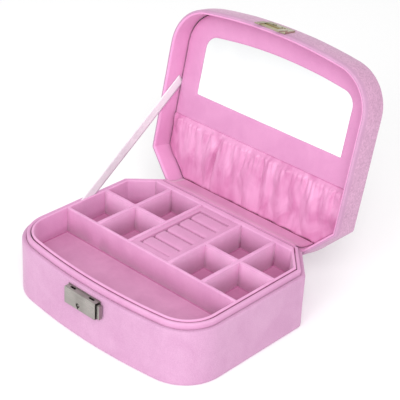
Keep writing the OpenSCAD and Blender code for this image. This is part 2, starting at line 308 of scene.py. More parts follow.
def bevel(obj, w):
    mod = obj.modifiers.new("edges", "BEVEL")
    mod.width, mod.segments = w * MM, 3
    mod.limit_method, mod.angle_limit = "ANGLE", math.radians(35)
    mod.harden_normals = False
    return obj


def corner(t0, z0, t1, z1, n=5):
    """A quarter ellipse from (t0, z0) to (t1, z1): upright at its start."""
    return [
        (t0 + (t1 - t0) * (1 - math.cos(k * math.pi / 2 / n)),
         z0 + (z1 - z0) * math.sin(k * math.pi / 2 / n))
        for k in range(n + 1)
    ]


def line(t0, z0, t1, z1, n):
    return [(t0 + (t1 - t0) * k / n, z0 + (z1 - z0) * k / n) for k in range(1, n)]


# ---- materials ----


def srgb(*c):
    return tuple(
        (v / 255 / 12.92 if v <= 10 else ((v / 255 + 0.055) / 1.055) ** 2.4)
        for v in c
    ) + (1.0,)


class Nodes:
    """A short way to wire a material's nodes."""

    def __init__(self, name):
        self.mat = bpy.data.materials.new(name)
        self.mat.use_nodes = True
        self.tree = self.mat.node_tree
        self.bsdf = self.tree.nodes["Principled BSDF"]
        self.coords = self.new("ShaderNodeTexCoord").outputs["Object"]

    def new(self, kind, **values):
        node = self.tree.nodes.new(kind)
        for key, value in values.items():
            setattr(node, key, value)
        return node

    def link(self, a, b):
        self.tree.links.new(a, b)

    def set(self, **values):
        for key, value in values.items():
            self.bsdf.inputs[key.replace("_", " ")].default_value = value

    def stretched(self, scale):
        node = self.new("ShaderNodeMapping")
        node.inputs["Scale"].default_value = scale
        self.link(self.coords, node.inputs["Vector"])
        return node.outputs["Vector"]

    def noise(self, scale, detail=2.0, rough=0.5, vector=None, distort=0.0):
        node = self.new("ShaderNodeTexNoise")
        node.inputs["Scale"].default_value = scale
        node.inputs["Detail"].default_value = detail
        node.inputs["Roughness"].default_value = rough
        node.inputs["Distortion"].default_value = distort
        self.link(vector or self.coords, node.inputs["Vector"])
        return node.outputs["Fac"]

    def ramp(self, fac, stops):
        node = self.new("ShaderNodeValToRGB")
        ramp = node.color_ramp
        while len(ramp.elements) < len(stops):
            ramp.elements.new(0.5)
        for el, (pos, col) in zip(ramp.elements, stops):
            el.position, el.color = pos, col
        self.link(fac, node.inputs["Fac"])
        return node.outputs["Color"]

    def mix(self, fac, a, b):
        node = self.new("ShaderNodeMix", data_type="RGBA")
        for value, socket in ((fac, 0), (a, 6), (b, 7)):
            if hasattr(value, "links"):
                self.link(value, node.inputs[socket])
            else:
                node.inputs[socket].default_value = value
        return node.outputs[2]

    def bump(self, heights):
        """heights: (socket, distance in mm, strength), coarse first."""
        last = None
        for height, distance, strength in heights:
            node = self.new("ShaderNodeBump")
            node.inputs["Distance"].default_value = distance * MM
            node.inputs["Strength"].default_value = strength
            self.link(height, node.inputs["Height"])
            if last:
                self.link(last, node.inputs["Normal"])
            last = node.outputs["Normal"]
        self.link(last, self.bsdf.inputs["Normal"])


def velvet(name, pale, deep, sheen=0.35, nap=1.0, rough=0.85, tint=(1, 0.9, 0.97, 1),
           grain=1500):
    """Short-pile velvet: fine tufts, and soft patches where the nap lies over."""
    n = Nodes(name)
    patches = n.noise(38, 3, 0.55, distort=0.6)
    streaks = n.noise(1, 3, 0.6, vector=n.stretched((260, 260, 70)))
    tufts = n.noise(grain, 2, 0.6)
    soft = n.ramp(patches, [(0.32, deep), (0.68, pale)])
    col = n.mix(0.22, soft, n.ramp(streaks, [(0.3, deep), (0.7, pale)]))
    dark = tuple(c * 0.72 for c in deep[:3]) + (1.0,)
    col = n.mix(0.16 * nap, col, n.ramp(tufts, [(0.35, dark), (0.7, pale)]))
    n.link(col, n.bsdf.inputs["Base Color"])
    n.set(Roughness=rough, Sheen_Weight=sheen, Sheen_Roughness=0.4,
          Sheen_Tint=tint, Specular_IOR_Level=0.15)
    n.bump([(patches, 0.5, 0.25), (tufts, 0.25, 0.55 * nap)])
    return n.mat


def satin(name, pale, deep, rough=0.38, along=(900, 40, 40), sheen=0.2,
          bands=(52, 26, 26)):
    """Satin: long floats one way, a fine weave, and soft bands of painted sheen and shade.
    """
    n = Nodes(name)
    floats = n.noise(1, 2, 0.5, vector=n.stretched(along))
    # shade: soft bands of painted highlight and shade, stretched lengthwise like gathers
    shade = n.noise(1, 3, 0.55, vector=n.stretched(bands), distort=0.8)
    col = n.mix(0.12, n.ramp(shade, [(0.36, deep), (0.6, pale)]),
                n.ramp(floats, [(0.3, deep), (0.7, pale)]))
    n.link(col, n.bsdf.inputs["Base Color"])
    n.set(Roughness=rough, Sheen_Weight=sheen, Sheen_Roughness=0.3,
          Specular_IOR_Level=0.4, Sheen_Tint=(1, 0.95, 0.98, 1))
    n.bump([(floats, 0.08, 0.4), (n.noise(2200, 1), 0.05, 0.4)])
    return n.mat


def metal(name, pale, deep, rough=0.25, scratch=(60, 60, 900), wear=0.35):
    """Plated sheet metal with fine scratches and dulled patches."""
    n = Nodes(name)
    clouds = n.noise(70, 2, 0.5)
    lines = n.noise(1, 2, 0.5, vector=n.stretched(scratch))
    col = n.mix(wear, n.ramp(clouds, [(0.2, deep), (0.7, pale)]),
                n.ramp(lines, [(0.25, deep), (0.6, pale)]))
    n.link(col, n.bsdf.inputs["Base Color"])
    n.set(Metallic=1.0)
    rough_ramp = n.ramp(clouds, [
        (0.3, (rough * 1.6,) * 3 + (1,)), (0.7, (rough * 0.8,) * 3 + (1,))])
    n.link(rough_ramp, n.bsdf.inputs["Roughness"])
    n.bump([(lines, 0.03, 0.5), (clouds, 0.05, 0.2)])
    return n.mat


def board(name, pale, deep):
    """Grey board with short fibres."""
    n = Nodes(name)
    fibres = n.noise(1, 4, 0.65, vector=n.stretched((400, 900, 400)))
    n.link(n.ramp(fibres, [(0.3, deep), (0.7, pale)]), n.bsdf.inputs["Base Color"])
    n.set(Roughness=0.9, Specular_IOR_Level=0.2)
    n.bump([(fibres, 0.1, 0.4)])
    return n.mat


def mirror_material(name):
    """Silvered glass, with the faintest haze."""
    n = Nodes(name)
    haze = n.noise(30, 2, 0.5)
    n.link(n.ramp(haze, [(0.3, srgb(250, 250, 252)), (0.7, srgb(254, 255, 255))]),
           n.bsdf.inputs["Base Color"])
    n.set(Metallic=1.0, Roughness=0.03)
    return n.mat


def felt(name, pale, deep):
    n = Nodes(name)
    fibres = n.noise(900, 5, 0.7, distort=1.0)
    n.link(n.ramp(fibres, [(0.3, deep), (0.7, pale)]), n.bsdf.inputs["Base Color"])
    n.set(Roughness=0.95, Sheen_Weight=0.2)
    n.bump([(fibres, 0.3, 0.7)])
    return n.mat


OUTER = velvet("outer_velvet", srgb(206, 160, 192), srgb(194, 144, 179), nap=1.6, grain=1000)
LID_OUTER = velvet("lid_outer_velvet", srgb(215, 166, 197), srgb(192, 145, 176), nap=3.6,
                   grain=620)
# the lid's foot: smoother velvet, painted darker than the lid's side as shade where the key
# light falls on it
RIM_PAINTED_SHADE = velvet("rim_velvet_painted_shade", srgb(198, 152, 184), srgb(186, 138, 171), nap=1.2, grain=900)
NECK = velvet("neck_velvet", srgb(214, 160, 196), srgb(205, 147, 186), nap=0.8)
LID_INNER = velvet("lid_inner_velvet", srgb(231, 166, 208), srgb(222, 153, 198), nap=0.7)
TRAY = velvet("tray_velvet", srgb(228, 170, 208), srgb(215, 153, 194), nap=0.9)
# a paler copy of the tray velvet: painted light on the compartment walls
CELL_LIT = velvet("cell_painted_light", srgb(242, 188, 224), srgb(230, 172, 211), nap=0.9)
FLOOR = velvet("floor_velvet", srgb(205, 137, 176), srgb(188, 118, 159), nap=0.8)
TROUGH = velvet("trough_velvet", srgb(212, 152, 188), srgb(197, 136, 173), nap=0.8)
RING = velvet("ring_velvet", srgb(213, 153, 191), srgb(202, 140, 179), nap=0.8)
FRAME = velvet("frame_velvet", srgb(214, 152, 192), srgb(205, 141, 183), nap=0.8)
HINGE = velvet("hinge_cloth", srgb(216, 150, 190), srgb(203, 135, 176), nap=0.6)
POCKET = satin("pocket_satin", srgb(223, 158, 198), srgb(201, 125, 170), rough=0.34)
RIBBON = satin("ribbon_satin", srgb(236, 236, 237), srgb(226, 224, 227),
               rough=0.42, along=(60, 60, 1200))
# gap shade: a darker copy of the velvet, painted shade in the gap round the tray and on the
# floors' turned-up edges
GAP_SHADE = velvet("gap_painted_shade", srgb(192, 118, 160), srgb(174, 100, 143), sheen=0.0, nap=0.6)
# tuck shade: darker still, painted shade in the ring pad's slots and where the gusset goes
# under the lining
TUCK_SHADE = velvet("tuck_painted_shade", srgb(172, 84, 132), srgb(150, 66, 112), sheen=0.0, nap=0.4)
FELT = felt("foot_felt", srgb(214, 150, 190), srgb(196, 128, 170))
STEEL = metal("lock_steel", srgb(169, 166, 160), srgb(142, 138, 133), rough=0.3)
CATCH = metal("catch_metal", srgb(206, 198, 172), srgb(118, 102, 70), rough=0.24, wear=0.5)
BRASS = metal("catch_brass", srgb(158, 144, 92), srgb(112, 98, 58), rough=0.3)
DARK = metal("lock_dark", srgb(120, 114, 110), srgb(80, 76, 74), rough=0.4)
# deep maroon: painted shade, since the boards show only in cracks
BOARD_CRACK_SHADE = board("board", srgb(150, 66, 108), srgb(126, 52, 88))
MIRROR = mirror_material("mirror")


def paint(obj, material):
    obj.data.materials.clear()
    obj.data.materials.append(material)
    return obj


def paint_where(obj, material, test):
    """A second material on the faces whose middle (x, y, z in mm) passes the test."""
    obj.data.materials.append(material)
    slot = len(obj.data.materials) - 1
    for face in obj.data.polygons:
        if test(*(c / MM for c in face.center)):
            face.material_index = slot
    return obj


def depth_in(x, y):
    """How far a point lies inside the box's outer outline, near enough."""
    a, b = abs(x), max(abs(x) - CORNER_X, 0)
    corner_gap = CORNER_R - math.hypot(b, y - CORNER_Y) if b and y < CORNER_Y else HALF_W - a
    front_gap = FRONT_R - math.hypot(x, y - FRONT_CY)
    return min(corner_gap, front_gap if y < 0 else HALF_D - y, HALF_W - a,
               CUT_C - CUT_NX * a - CUT_NY * y)


# ---- base ----


def skin(name, path, body, material, replaces=(), t=0.7, amp=0.1,
         is_open=False, caps=()):
    """Cloth over a board: the path's surface, with thickness behind it."""
    rings = sweep(path)
    for s, z in caps:
        rings.append(shrink(rings[len(path) - 1], s, z))
    verts, faces = rings_mesh(rings, cap_end=bool(caps))
    verts = rumple(rumple(verts, amp, 23), amp * 0.5, 7)
    obj = make(name, verts, faces, body, replaces, is_open)
    return paint(solidify(obj, t), material)


def paint_first(obj, material, rows):
    """A second material on the faces of a swept piece's first rows."""
    obj.data.materials.append(material)
    for face in obj.data.polygons[:rows * len(outline(0))]:
        face.material_index = 1
    return obj


def base_cover_path():
    foot_r, top_r = 2.4, 1.7
    path = [(t, z) for t, z in reversed(corner(0, foot_r, foot_r, 0))]
    path = [(9, 0.1), (5, 0.0)] + path
    path += line(0, foot_r, 0, WALL_TOP - top_r, 11)
    path += corner(0, WALL_TOP - top_r, top_r, WALL_TOP)
    return path + [(3.0, WALL_TOP), (3.9, WALL_TOP - 0.5), (4.15, WALL_TOP - 1.6)]


skin("base_cover", base_cover_path(), "base", OUTER, ["base_wrap"])

NECK_ARC = (NECK_IN - NECK_OUT) / 2
neck_path = (
    [(NECK_OUT, SEAM - 3), (NECK_OUT, SEAM)]
    + corner(NECK_OUT, NECK_TOP - NECK_ARC, NECK_OUT + NECK_ARC, NECK_TOP, 4)
    + corner(NECK_IN + 0.3, NECK_TOP - NECK_ARC, NECK_OUT + NECK_ARC, NECK_TOP, 4)[::-1][1:]
    + [(NECK_IN + 0.2, NECK_TOP - 3)] + [(NECK_IN, z) for z in (50, 44, 37, 30, 20, 10, 3)]
)
neck = skin("neck_velvet", neck_path, "base", NECK, ["neck_cover"],
            t=0.5, amp=0.08)
SHADE_DEPTH = 1.3  # how far below its top the neck's inner face is painted with the gap's shade
BACK_SHADE_DEPTH, BACK_FROM = 0.5, 75  # and behind this y


def in_tray_gap(x, y, z):
    """On the neck's inner face, from a little below its top, where the gap's shade is
    painted.
    """
    depth = BACK_SHADE_DEPTH if y > BACK_FROM else SHADE_DEPTH
    return z < NECK_TOP - depth and depth_in(x, y) > NECK_IN - 1.0


# painted shade of the gap round the tray, on the neck's inner face
paint_where(neck, GAP_SHADE, in_tray_gap)

LEDGE, LEDGE_W = 31, 4  # the ledge's height and width
support_path = [(NECK_IN + 0.1, LEDGE - 0.2), (NECK_IN + 0.6, LEDGE),
                (NECK_IN + LEDGE_W - 0.6, LEDGE), (NECK_IN + LEDGE_W, LEDGE - 0.6),
                (NECK_IN + LEDGE_W, 20), (NECK_IN + LEDGE_W, 4)]
skin("tray_ledge", support_path, "base", FLOOR, ["tray_support"],
     t=0.5, amp=0.05)


def flat_slab(name, t, z_low, z_high, body, material, replaces, soft=0.4,
              steps=(0.93, 0.8, 0.6, 0.35), amp=0.05):
    """A full-size cloth or felt sheet with softened edges."""
    path = [(t + 6, z_low), (t + soft, z_low), (t, z_low + soft * 0.5),
            (t, z_high - soft * 0.5), (t + soft, z_high), (t + 6, z_high)]
    rings = sweep(path)
    low = [shrink(rings[0], s, z_low) for s in steps][::-1]
    high = [shrink(rings[-1], s, z_high) for s in steps]
    verts, faces = rings_mesh(low + rings + high, cap_start=True, cap_end=True)
    obj = make(name, rumple(verts, amp, 17), faces, body, replaces)
    return paint(obj, material)


flat_slab("foot_felt", 4.6, 0.05, 0.8, "base", FELT, ["base_foot_felt"])
flat_slab("store_floor", NECK_IN + LEDGE_W, 2.8, 3.9, "base", FLOOR,
          ["base_floor_liner"])

# ---- tray ----


def round_rect(x0, x1, y0, y1, r, inset=0.0, n=4):
    """Outline of a rectangle with round corners, moved inwards by inset."""
    r = max(min(r, (x1 - x0) / 2, (y1 - y0) / 2) - inset, 0.05)
    x0, x1, y0, y1 = x0 + inset, x1 - inset, y0 + inset, y1 - inset
    q = math.pi / 2
    pts = []
    for cx, cy, a in ((x1 - r, y0 + r, -q), (x1 - r, y1 - r, 0),
                      (x0 + r, y1 - r, q), (x0 + r, y0 + r, 2 * q)):
        pts += arc(cx, cy, r, a, a + q, n)
    return pts


def poly_inset(points, d):
    """A convex outline, anticlockwise, with each edge moved inwards by d."""
    pts = [np.array(p, float) for p in points]
    out = []
    for i, p in enumerate(pts):
        a, b = unit(p - pts[i - 1]), unit(pts[(i + 1) % len(pts)] - p)
        na, nb = np.array([-a[1], a[0]]), np.array([-b[1], b[0]])
        out.append(tuple(p + (na + nb) * d / (1 + na @ nb)))
    return out


def wall(name, points, z0, z1, body, material, replaces=(), r=1.0, amp=0.0):
    """A cloth-wrapped board standing on a convex footprint, its top edges soft."""
    heights = [(0, z0), (0, z1 - r), (0.13 * r, z1 - 0.5 * r),
               (0.5 * r, z1 - 0.13 * r), (r, z1)]
    rings = [at_z(poly_inset(points, d) if d else points, z) for d, z in heights]
    verts, faces = rings_mesh(rings, cap_start=True, cap_end=True)
    obj = make(name, rumple(verts, amp, 15) if amp else verts, faces, body, replaces)
    return paint(obj, material)


def stepped(points, size=5.0):
    """A closed outline with points added about every size millimetres."""
    out = []
    for a, b in zip(points, points[1:] + points[:1]):
        k = max(1, round(math.dist(a, b) / size))
        out += [(a[0] + (b[0] - a[0]) * i / k, a[1] + (b[1] - a[1]) * i / k)
                for i in range(k)]
    return out


(_, DIV_Y0, _), (_, DIV_Y1, _) = box_mm("long_divider")
(_, MID_Y0, _), (_, MID_Y1, _) = box_mm("middle_dividers")
(_, _, _), (CROSS_X1, _, _) = box_mm("cross_dividers")
(_, _, _), (WELL_X1, _, _) = box_mm("ring_well_walls")
CROSS_X0, WELL_X0 = CROSS_X1 - 4.2, WELL_X1 - 3.0
BACK_Y = 73.9
RIM_X = HALF_W - TRAY_IN

rim_path = (
    [(TRAY_OUT, TRAY_LOW), (TRAY_OUT, 40), (TRAY_OUT, 50), (TRAY_OUT, TRAY_TOP - 3)]
    + corner(TRAY_OUT - 0.6, TRAY_TOP - 1.1, TRAY_OUT + 0.95, TRAY_TOP, 4)
    + corner(TRAY_IN, TRAY_TOP - 1.1, TRAY_IN - 0.95, TRAY_TOP, 4)[::-1]
    + [(TRAY_IN, 50), (TRAY_IN, 42), (TRAY_IN, TRAY_LOW + 1)]
)
verts, faces = rings_mesh(sweep(rim_path), closed_path=True)
tray_rim = paint(
    make("tray_rim_velvet", rumple(verts, 0.1, 19), faces, "tray", ["tray_rim"]), TRAY)
EDGE_SOFT = 1.2  # how far down a wall's soft top edge reaches
# painted shade of the gap round the tray, on the rim's outer face below its soft top edge
paint_where(tray_rim, GAP_SHADE, lambda x, y, z: z < TRAY_TOP - EDGE_SOFT
            and depth_in(x, y) < TRAY_OUT + 0.5)


def divider(name, x0, x1, y0, y1, replaces=(), r=0.95):
    pts = stepped([(x0, y0), (x1, y0), (x1, y1), (x0, y1)])
    return wall(name, pts, TRAY_LOW + SLAB, TRAY_TOP, "tray", TRAY,
                replaces, r=r, amp=0.1)


def cell_divider(*args, **more):
    """A divider between the small compartments, whose sides are painted paler than its top,
    as painted light in the compartments.
    """
    return paint_where(divider(*args, **more), CELL_LIT,
                       lambda x, y, z: z < TRAY_TOP - EDGE_SOFT)


back_pts = stepped([
    (-cut_at_y(BACK_Y, TRAY_IN - 1), BACK_Y), (cut_at_y(BACK_Y, TRAY_IN - 1), BACK_Y),
    (cut_at_y(HALF_D - TRAY_OUT - 0.2, TRAY_OUT + 0.2), HALF_D - TRAY_OUT - 0.2),
    (-cut_at_y(HALF_D - TRAY_OUT - 0.2, TRAY_OUT + 0.2), HALF_D - TRAY_OUT - 0.2)])
wall("tray_back_wall", back_pts, TRAY_LOW + SLAB, TRAY_TOP, "tray", TRAY,
     r=0.95, amp=0.08)
divider("long_divider_velvet", -RIM_X - 0.8, RIM_X + 0.8, DIV_Y0, DIV_Y1,
        ["long_divider"])
first = True
for side, tag in ((-1, "left"), (1, "right")):
    xs = sorted((side * CROSS_X0, side * CROSS_X1))
    cell_divider(f"cross_divider_{tag}", *xs, DIV_Y1 - 0.5, BACK_Y + 0.5,
                 ["cross_dividers"] if first else ())
    xs = sorted((side * WELL_X0, side * WELL_X1))
    cell_divider(f"ring_well_wall_{tag}", *xs, DIV_Y1 - 0.5, BACK_Y + 0.5,
                 ["ring_well_walls"] if first else (), r=0.4)
    xs = sorted((side * (WELL_X1 - 0.5), side * (CROSS_X0 + 0.5)))
    cell_divider(f"middle_divider_inner_{tag}", *xs, MID_Y0, MID_Y1,
                 ["middle_dividers"] if first else ())
    xs = sorted((side * (CROSS_X1 - 0.5), side * (RIM_X + 0.6)))
    cell_divider(f"middle_divider_outer_{tag}", *xs, MID_Y0, MID_Y1)
    first = False

TURN_UP = 0.36  # height above a floor where its turned-up edge begins


def lining_floor(name, points, z, replaces=(), material=FLOOR):
    """Cloth laid in a compartment: flat, turned up a little at its edges, where the fold's
    shade is painted on."""
    heights = [(-0.3, z + 1.4), (0.1, z + 0.7), (0.7, z + 0.2), (1.8, z)]
    rings = [at_z(poly_inset(points, d), h) for d, h in heights]
    verts, faces = rings_mesh(rings, cap_end=True)
    obj = make(name, rumple(verts, 0.06, 9), faces, "tray", replaces)
    paint(solidify(obj, 0.6), material)
    # the turned-up edge painted with the gap's shade
    return paint_where(obj, GAP_SHADE, lambda x, y, h: h > z + TURN_UP)


def compartments():
    y0, y1, y2, y3 = DIV_Y1, MID_Y0, MID_Y1, BACK_Y
    cut_in = TRAY_IN
    outer_cut = [(CROSS_X1, y2), (RIM_X, y2), (RIM_X, cut_at_x(RIM_X, cut_in)),
                 (cut_at_y(y3, cut_in), y3), (CROSS_X1, y3)]
    cells = {
        "inner_front": [(WELL_X1, y0), (CROSS_X0, y0), (CROSS_X0, y1), (WELL_X1, y1)],
        "inner_back": [(WELL_X1, y2), (CROSS_X0, y2), (CROSS_X0, y3), (WELL_X1, y3)],
        "outer_front": [(CROSS_X1, y0), (RIM_X, y0), (RIM_X, y1), (CROSS_X1, y1)],
        "outer_back": outer_cut,
    }
    for side, tag in ((-1, "left"), (1, "right")):
        for cell, pts in cells.items():
            pts = [(side * x, y) for x, y in pts][::side]
            yield f"floor_{cell}_{tag}", stepped(pts, 6)


hide = ["compartment_liners"]
for name, pts in compartments():
    lining_floor(name, pts, FLOOR_Z, hide)
    hide = []


def trough_points():
    pts = [p for p in outline(TRAY_IN) if p[1] < DIV_Y0 - 1]
    start = max(range(len(pts)), key=lambda i: math.dist(pts[i], pts[i - 1]))
    pts = pts[start:] + pts[:start]
    return stepped(pts + [(RIM_X, DIV_Y0), (-RIM_X, DIV_Y0)], 6)


lining_floor("floor_trough", trough_points(), TROUGH_Z, ["trough_liner"], TROUGH)
flat_slab("tray_underside", TRAY_OUT + 0.1, TRAY_LOW, TRAY_LOW + SLAB, "tray", FLOOR,
          ["tray_floor"])

# ---- ring pad ----

ROLLS, PITCH, SLOT0 = 5, 15.1, -9.4
PAD_X, ROLL_X = 22.0, 17.5
PAD_LOW, ROLL_LOW, BED = 36, 42, 43  # feet of border and rolls, side of the bed
ROLL_GAP = 0.7  # on each side of a roll
BORDER_SOFT = 0.25  # how far the border's cloth bulges on the left and right
(_, PAD_Y0, _), (_, PAD_Y1, _) = box_mm("ring_pad_frame")


def dome(name, foot, rings_at, body, material, replaces=(), amp=0.12):
    """A soft block: foot(inset) gives its outline, rings_at (inset, z) its side."""
    rings = [at_z(foot(d), z) for d, z in rings_at]
    verts, faces = rings_mesh(rings, cap_start=True, cap_end=True)
    obj = make(name, rumple(verts, amp, 8), faces, body, replaces)
    return paint(obj, material)


def roll(i):
    y0 = SLOT0 + i * PITCH + ROLL_GAP
    y1 = SLOT0 + (i + 1) * PITCH - ROLL_GAP
    z = PAD_TOP
    side = [(0, ROLL_LOW), (0, z - 2.6), (0.15, z - 1.7), (0.55, z - 0.9), (1.3, z - 0.3),
            (2.6, z), (4.4, z + 0.15)]

    def foot(d):
        return round_rect(-ROLL_X + 0.5, ROLL_X + 1.5, y0, y1, 3.4, d, 5)

    obj = dome(f"ring_roll_{i + 1}", foot, side, "ring_pad", RING,
               ["ring_rolls"] if i == 0 else ())


for number in range(ROLLS):
    roll(number)


def pad_border():
    x0, x1 = -ROLL_X, ROLL_X
    y0, y1 = SLOT0 - 0.5, SLOT0 + ROLLS * PITCH + 0.5
    z = PAD_TOP
    strips = {
        "left": (-PAD_X - BORDER_SOFT, x0 - 0.1, PAD_Y0, PAD_Y1),
        "right": (x1 + 0.1, PAD_X + BORDER_SOFT, PAD_Y0, PAD_Y1),
        "front": (x0 - 0.6, x1 + 0.6, PAD_Y0, y0),
        "back": (x0 - 0.6, x1 + 0.6, y1, PAD_Y1),
    }
    for n, (tag, (a, b, c, d)) in enumerate(strips.items()):
        def foot(i, a=a, b=b, c=c, d=d):
            return round_rect(a, b, c, d, 0.4, i, 3)
        obj = dome(f"ring_pad_{tag}", foot,
                   [(0, PAD_LOW), (0, z - 0.1), (0.1, z + 0.25), (0.3, z + 0.35),
                    (0.6, z + 0.4)],
                   "ring_pad", RING,
                   ["ring_pad_frame"] if n == 0 else (), amp=0.08)

    def foot(i):
        return round_rect(x0 - 1, x1 + 1, y0 - 1, y1 + 1, 1, i, 2)
    # the bed under the rolls, seen only in the slots between them, painted dark as their
    # shade
    dome("ring_pad_bed", foot, [(0, PAD_LOW), (0, BED), (0.5, BED + 0.6)],
         "ring_pad", TUCK_SHADE, amp=0.05)


pad_border()

# ---- lid ----

LID_BULGE = 0.7
LID_SIDE = LID_H - 3.1  # height over which the side bulges
SIDE_STEPS = 8
FOOT_ROWS = 6  # rows of faces from the lid's foot up that have the rim's smoother velvet, painted darker as shade
lid_path = (
    [(LID_LIP, SEAM), (LID_ROLL, SEAM)]
    + [(LID_ROLL - LID_ROLL * math.sin(a), SEAM + LID_ROLL - LID_ROLL * math.cos(a))
       for a in (math.radians(d) for d in (20, 45, 70, 90))]
    + [(-LID_BULGE * math.sin(math.pi * k / SIDE_STEPS),
        SEAM + LID_ROLL + LID_SIDE * k / SIDE_STEPS) for k in range(1, SIDE_STEPS)]
    + corner(0, TOP_Z - 0.8, 2.4, TOP_Z + 1.4, 6)
)
lid_caps = [(0.97, TOP_Z + 1.8), (0.92, TOP_Z + 2.1), (0.84, TOP_Z + 2.4),
            (0.7, TOP_Z + 2.6), (0.5, TOP_Z + 2.8), (0.25, TOP_Z + 2.9)]
lid_cover = skin("lid_cover", lid_path, "lid", LID_OUTER,
                 ["lid_wrap", "lid_top_cover", "lid_padding"], amp=0.14, is_open=True,
                 caps=lid_caps)
# the foot rows: smoother velvet, painted darker as shade
paint_first(lid_cover, RIM_PAINTED_SHADE, FOOT_ROWS)

lid_inner_path = (
    [(LID_T, z) for z in (76, LINING_Z, 68, 64, 60, 56)]
    + [(LID_T - LID_ROLL + LID_ROLL * math.cos(a), SEAM + LID_ROLL - LID_ROLL * math.sin(a))
       for a in (math.radians(d) for d in (0, 25, 50, 75, 90))]
    + [(LID_LIP, SEAM)]
)
skin("lid_inner_velvet", lid_inner_path, "lid", LID_INNER,
     ["lid_inner_liner"], t=0.5, amp=0.1, is_open=True)


def mirror_outline(t):
    """Outline of the mirror window: the lid's own shape, cut straight at its foot."""
    m, q = MIRROR_IN - t, math.pi / 2
    left = arc(-CORNER_X, CORNER_Y, CORNER_R - m, 2 * q, 3 * q - BOW_A, 10)
    front = arc(0, FRONT_CY, FRONT_R - m, -q - BOW_A, -q + BOW_A, 12)[1:-1]
    right = arc(CORNER_X, CORNER_Y, CORNER_R - m, -q + BOW_A, 0, 10)
    y, x = MIRROR_Y + t, HALF_W - m
    r = max(1.6 - t, 0.3)
    return (left + front + right + fillet(right[-1], (x, y), (-x, y), r)
            + fillet((x, y), (-x, y), left[0], r))


def ray_hits(points, centre, angles):
    """Where rays from the centre at these angles leave a closed outline."""
    p = np.array(points) - centre
    q = np.roll(p, -1, axis=0)
    e = q - p
    out = []
    for a in angles:
        d = np.array([math.cos(a), math.sin(a)])
        den = d[0] * e[:, 1] - d[1] * e[:, 0]
        den = np.where(abs(den) < 1e-12, 1e-12, den)
        s = (p[:, 0] * e[:, 1] - p[:, 1] * e[:, 0]) / den
        u = (p[:, 0] * d[1] - p[:, 1] * d[0]) / den
        ok = (u >= -1e-9) & (u <= 1 + 1e-9) & (s > 0)
        out.append(centre + d * s[ok].min())
    return np.array(out)


def frame_rings():
    centre = np.array([0.0, -32.0])
    outer, inner = raw_outline(LINING_IN), mirror_outline(0)
    angles = sorted({round(math.atan2(y - centre[1], x - centre[0]), 6)
                     for x, y in outer + inner}
                    | {round(-math.pi + 2 * math.pi * k / 160, 6) for k in range(160)})
    w, o = ray_hits(inner, centre, angles), ray_hits(outer, centre, angles)
    d = (o - w) / np.linalg.norm(o - w, axis=1)[:, None]
    from_window = [(0.0, 0.9), (0.05, 0.5), (0.3, 0.15), (0.8, -0.12), (1.8, -0.35),
                   (4.0, -0.55)]
    from_edge = [(4.0, -0.5), (2.0, -0.2), (0.7, 0.15), (0.0, 0.6), (-0.45, 1.3),
                 (-0.55, 2.4)]
    rings = [[(x, y, LINING_Z + h) for x, y in w + d * s] for s, h in from_window]
    mid = [0.25, 0.5, 0.75]
    a, b = w + d * 4.0, o - d * 4.0
    rings += [[(x, y, LINING_Z - 0.6) for x, y in a + (b - a) * f] for f in mid]
    return rings + [[(x, y, LINING_Z + h) for x, y in o - d * s] for s, h in from_edge]


verts, faces = rings_mesh(frame_rings())
lining = make("lining_velvet", rumple(verts, 0.12, 14), faces, "lid",
              ["lining_frame"], True)
paint(solidify(lining, 0.7), FRAME)

# ---- gathered pocket ----

FOLDS = [
    # place across (mm), lean (mm from hem to foot), depth (mm), half width (mm)
    (-92, 2, 2.2, 5.0), (-76, 7, 3.0, 6.0), (-59, -4, 2.2, 5.0), (-40, -13, 7.4, 1.5),
    (-27, 3, 2.4, 5.6), (-11, -5, 3.0, 5.0), (6, 6, 2.6, 6.2), (24, -4, 3.2, 5.4),
    (41, 6, 2.6, 6.0), (58, -3, 3.4, 5.4), (73, 8, 3.0, 5.8), (89, 1, 2.6, 4.6),
]
HEM, HEM_H = 0.07, 2.1  # the elastic hem: share of the depth, and height (mm)
SWELL = 5.4  # how far the pocket stands off between its folds
PUCKER, SAG, CREASE = 2.6, 2.2, 0.7  # unevenness at the hem, broad, and fine
POCKET_SIDE = 104.0  # half width at which the pocket lies down


def pocket_height(x, v):
    """How far the pocket stands off the lining at x, and v from hem to foot."""
    if v < HEM:
        return HEM_H
    env = math.sin(math.pi * (0.2 + 0.76 * v)) ** 0.7
    side = math.sqrt(max(min(1.0, (POCKET_SIDE - abs(x)) / 9.0), 0.0))
    h = SWELL * env * side
    for place, lean, depth, half in FOLDS:
        sway = 1.6 * math.sin(4.2 * v + place)
        d = (x - place - lean * v - sway) / (half * (0.75 + 0.6 * v))
        d /= 0.6 if d < 0 else 1.4
        h -= depth * min(1.0, 0.35 + 1.5 * v) * math.exp(-abs(d) ** 1.6) * side
    near_hem = math.exp(-((v - HEM) / 0.26) ** 2)
    h += PUCKER * near_hem * noise.noise(Vector((x / 3.0, v * 2.6, 3.1)))
    h += SAG * noise.noise(Vector((x / 12, v * 3.4, 7.7))) * env
    h += CREASE * noise.noise(Vector((x / 5, v * 5.0, 1.3))) * env
    return max(h, 0.3 + 0.5 * env) + 0.7


